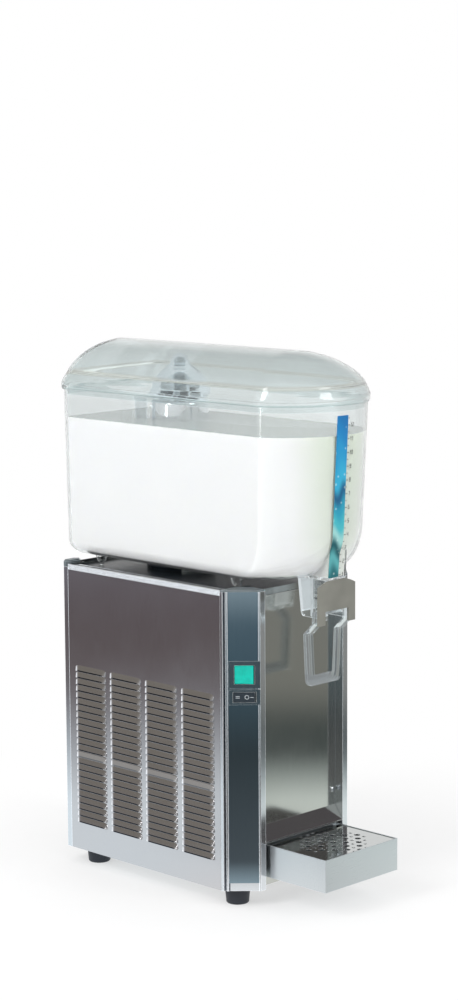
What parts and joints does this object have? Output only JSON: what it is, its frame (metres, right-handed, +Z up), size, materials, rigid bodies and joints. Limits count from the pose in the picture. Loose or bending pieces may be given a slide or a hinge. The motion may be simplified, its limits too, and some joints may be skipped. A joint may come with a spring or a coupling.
{
  "type": "juice dispenser",
  "caption": "Refrigerated juice dispenser: louvred stainless case, clear bowl with lid and agitator, push-lever tap, drip tray and rocker switches.",
  "frame": {"origin": "On the floor, under the middle of the whole machine's outline, feet at z = 0", "axes": "+X runs to the right as seen from the front, -Y is the front where the tap is, +Z is up"},
  "size_m": [0.2252, 0.4376, 0.6698],
  "materials": {
    "brushed_steel": "brushed stainless sheet",
    "steel_trim": "polished stainless trim strip, reflects blue-grey",
    "grey_plastic": "moulded grey",
    "plate_plastic": "moulded grey, satin",
    "black_plastic": "moulded black",
    "green_plastic": "translucent green, lit",
    "clear_plastic": "clear polycarbonate",
    "white_plastic": "moulded white",
    "beige_plastic": "moulded box",
    "rubber": "moulded rubber",
    "deck_plastic": "dark moulded deck",
    "polished_steel": "polished stainless",
    "screw_steel": "plated steel",
    "copper": "drawn copper tube",
    "black_paint": "black enamel",
    "aluminium": "mill finish",
    "motor_steel": "grey enamel",
    "magnet": "plated magnet",
    "louvre_steel": "vertically brushed stainless"
  },
  "bodies": {
    "case": {"base_pan": "brushed_steel", "feet": "rubber", "foot_screws": "screw_steel", "foot_nuts": "screw_steel", "front_column_left": "brushed_steel", "front_column_right": "brushed_steel", "column_trim_left": "steel_trim", "column_trim_right": "steel_trim", "column_caps": "grey_plastic", "rear_post_left": "brushed_steel", "rear_post_right": "brushed_steel", "post_caps": "grey_plastic", "side_rails": "brushed_steel", "side_panel_left": "louvre_steel", "side_panel_right": "louvre_steel", "rear_panel": "brushed_steel", "rear_screws": "screw_steel", "front_panel": "brushed_steel", "front_screws": "screw_steel", "tray_brackets": "brushed_steel", "top_deck": "deck_plastic", "bowl_seal": "rubber", "cooling_cylinder": "polished_steel", "cooling_coil": "copper", "main_switch_housing": "black_plastic", "mode_switch_housing": "black_plastic", "compressor": "black_paint", "compressor_grommets": "rubber", "condenser": "aluminium", "fan_shroud": "black_plastic", "fan_motor": "motor_steel", "discharge_line": "copper", "liquid_line": "copper", "suction_line": "copper", "filter_drier": "copper", "agitator_motor": "motor_steel", "motor_bracket": "brushed_steel", "thermostat": "beige_plastic", "terminal_box": "beige_plastic", "cable_gland": "black_plastic"},
    "main_rocker": {"main_rocker": "green_plastic"},
    "mode_rocker": {"mode_rocker": "black_plastic"},
    "fan": {"fan_blades": "aluminium"},
    "drive": {"drive_shaft": "screw_steel", "drive_magnets": "magnet"},
    "bowl": {"bowl": "clear_plastic", "tap_plate": "plate_plastic", "plunger_guide": "white_plastic", "tap_spring": "screw_steel"},
    "agitator": {"agitator": "clear_plastic", "agitator_magnets": "magnet"},
    "lid": {"lid": "clear_plastic"},
    "lever": {"tap_lever": "clear_plastic"},
    "plunger": {"tap_plunger": "white_plastic", "plunger_seal": "rubber"},
    "tray": {"drip_tray": "brushed_steel"},
    "grille": {"tray_grille": "brushed_steel"}
  },
  "joints": [
    {"name": "main_rocker_tip", "type": "hinge", "parent": "case", "child": "main_rocker", "pos_m": [-0.08792, -0.10826, 0.288], "axis": [0, 0, 1], "range_deg": [0, 10]},
    {"name": "mode_rocker_tip", "type": "hinge", "parent": "case", "child": "mode_rocker", "pos_m": [-0.08792, -0.10826, 0.2605], "axis": [0, 0, 1], "range_deg": [0, 10]},
    {"name": "fan_spin", "type": "hinge", "parent": "case", "child": "fan", "pos_m": [-0.0751, -0.00625, 0.105], "axis": [1, 0, 0], "continuous": true},
    {"name": "drive_spin", "type": "hinge", "parent": "case", "child": "drive", "pos_m": [0, 0.08675, 0.32], "axis": [0, 0, 1], "continuous": true},
    {"name": "agitator_spin", "type": "hinge", "parent": "bowl", "child": "agitator", "pos_m": [0, 0.08675, 0.601], "axis": [0, 0, 1], "continuous": true},
    {"name": "bowl_lift", "type": "slide", "parent": "case", "child": "bowl", "axis": [0, 0, 1], "range_m": [0, 0.225]},
    {"name": "lid_lift", "type": "slide", "parent": "bowl", "child": "lid", "axis": [0, 0, 1], "range_m": [0, 0.08]},
    {"name": "lever_swing", "type": "hinge", "parent": "bowl", "child": "lever", "pos_m": [0, -0.17005, 0.3595], "axis": [1, 0, 0], "range_deg": [0, 15]},
    {"name": "plunger_lift", "type": "slide", "parent": "bowl", "child": "plunger", "axis": [0, 0, 1], "range_m": [0, 0.0045], "stiffness_N_per_m": 350, "springref_m": -0.005, "deforming": ["tap_spring"]},
    {"name": "tray_slide", "type": "slide", "parent": "case", "child": "tray", "axis": [0, -1, 0], "range_m": [0, 0.12]},
    {"name": "grille_lift", "type": "slide", "parent": "tray", "child": "grille", "axis": [0, 0, 1], "range_m": [0, 0.03]}
  ],
  "couplings": [
    {"joint": "agitator_spin", "follows": "drive_spin", "ratio": 1},
    {"joint": "plunger_lift", "follows": "lever_swing", "m_per_rad": 0.0169}
  ]
}
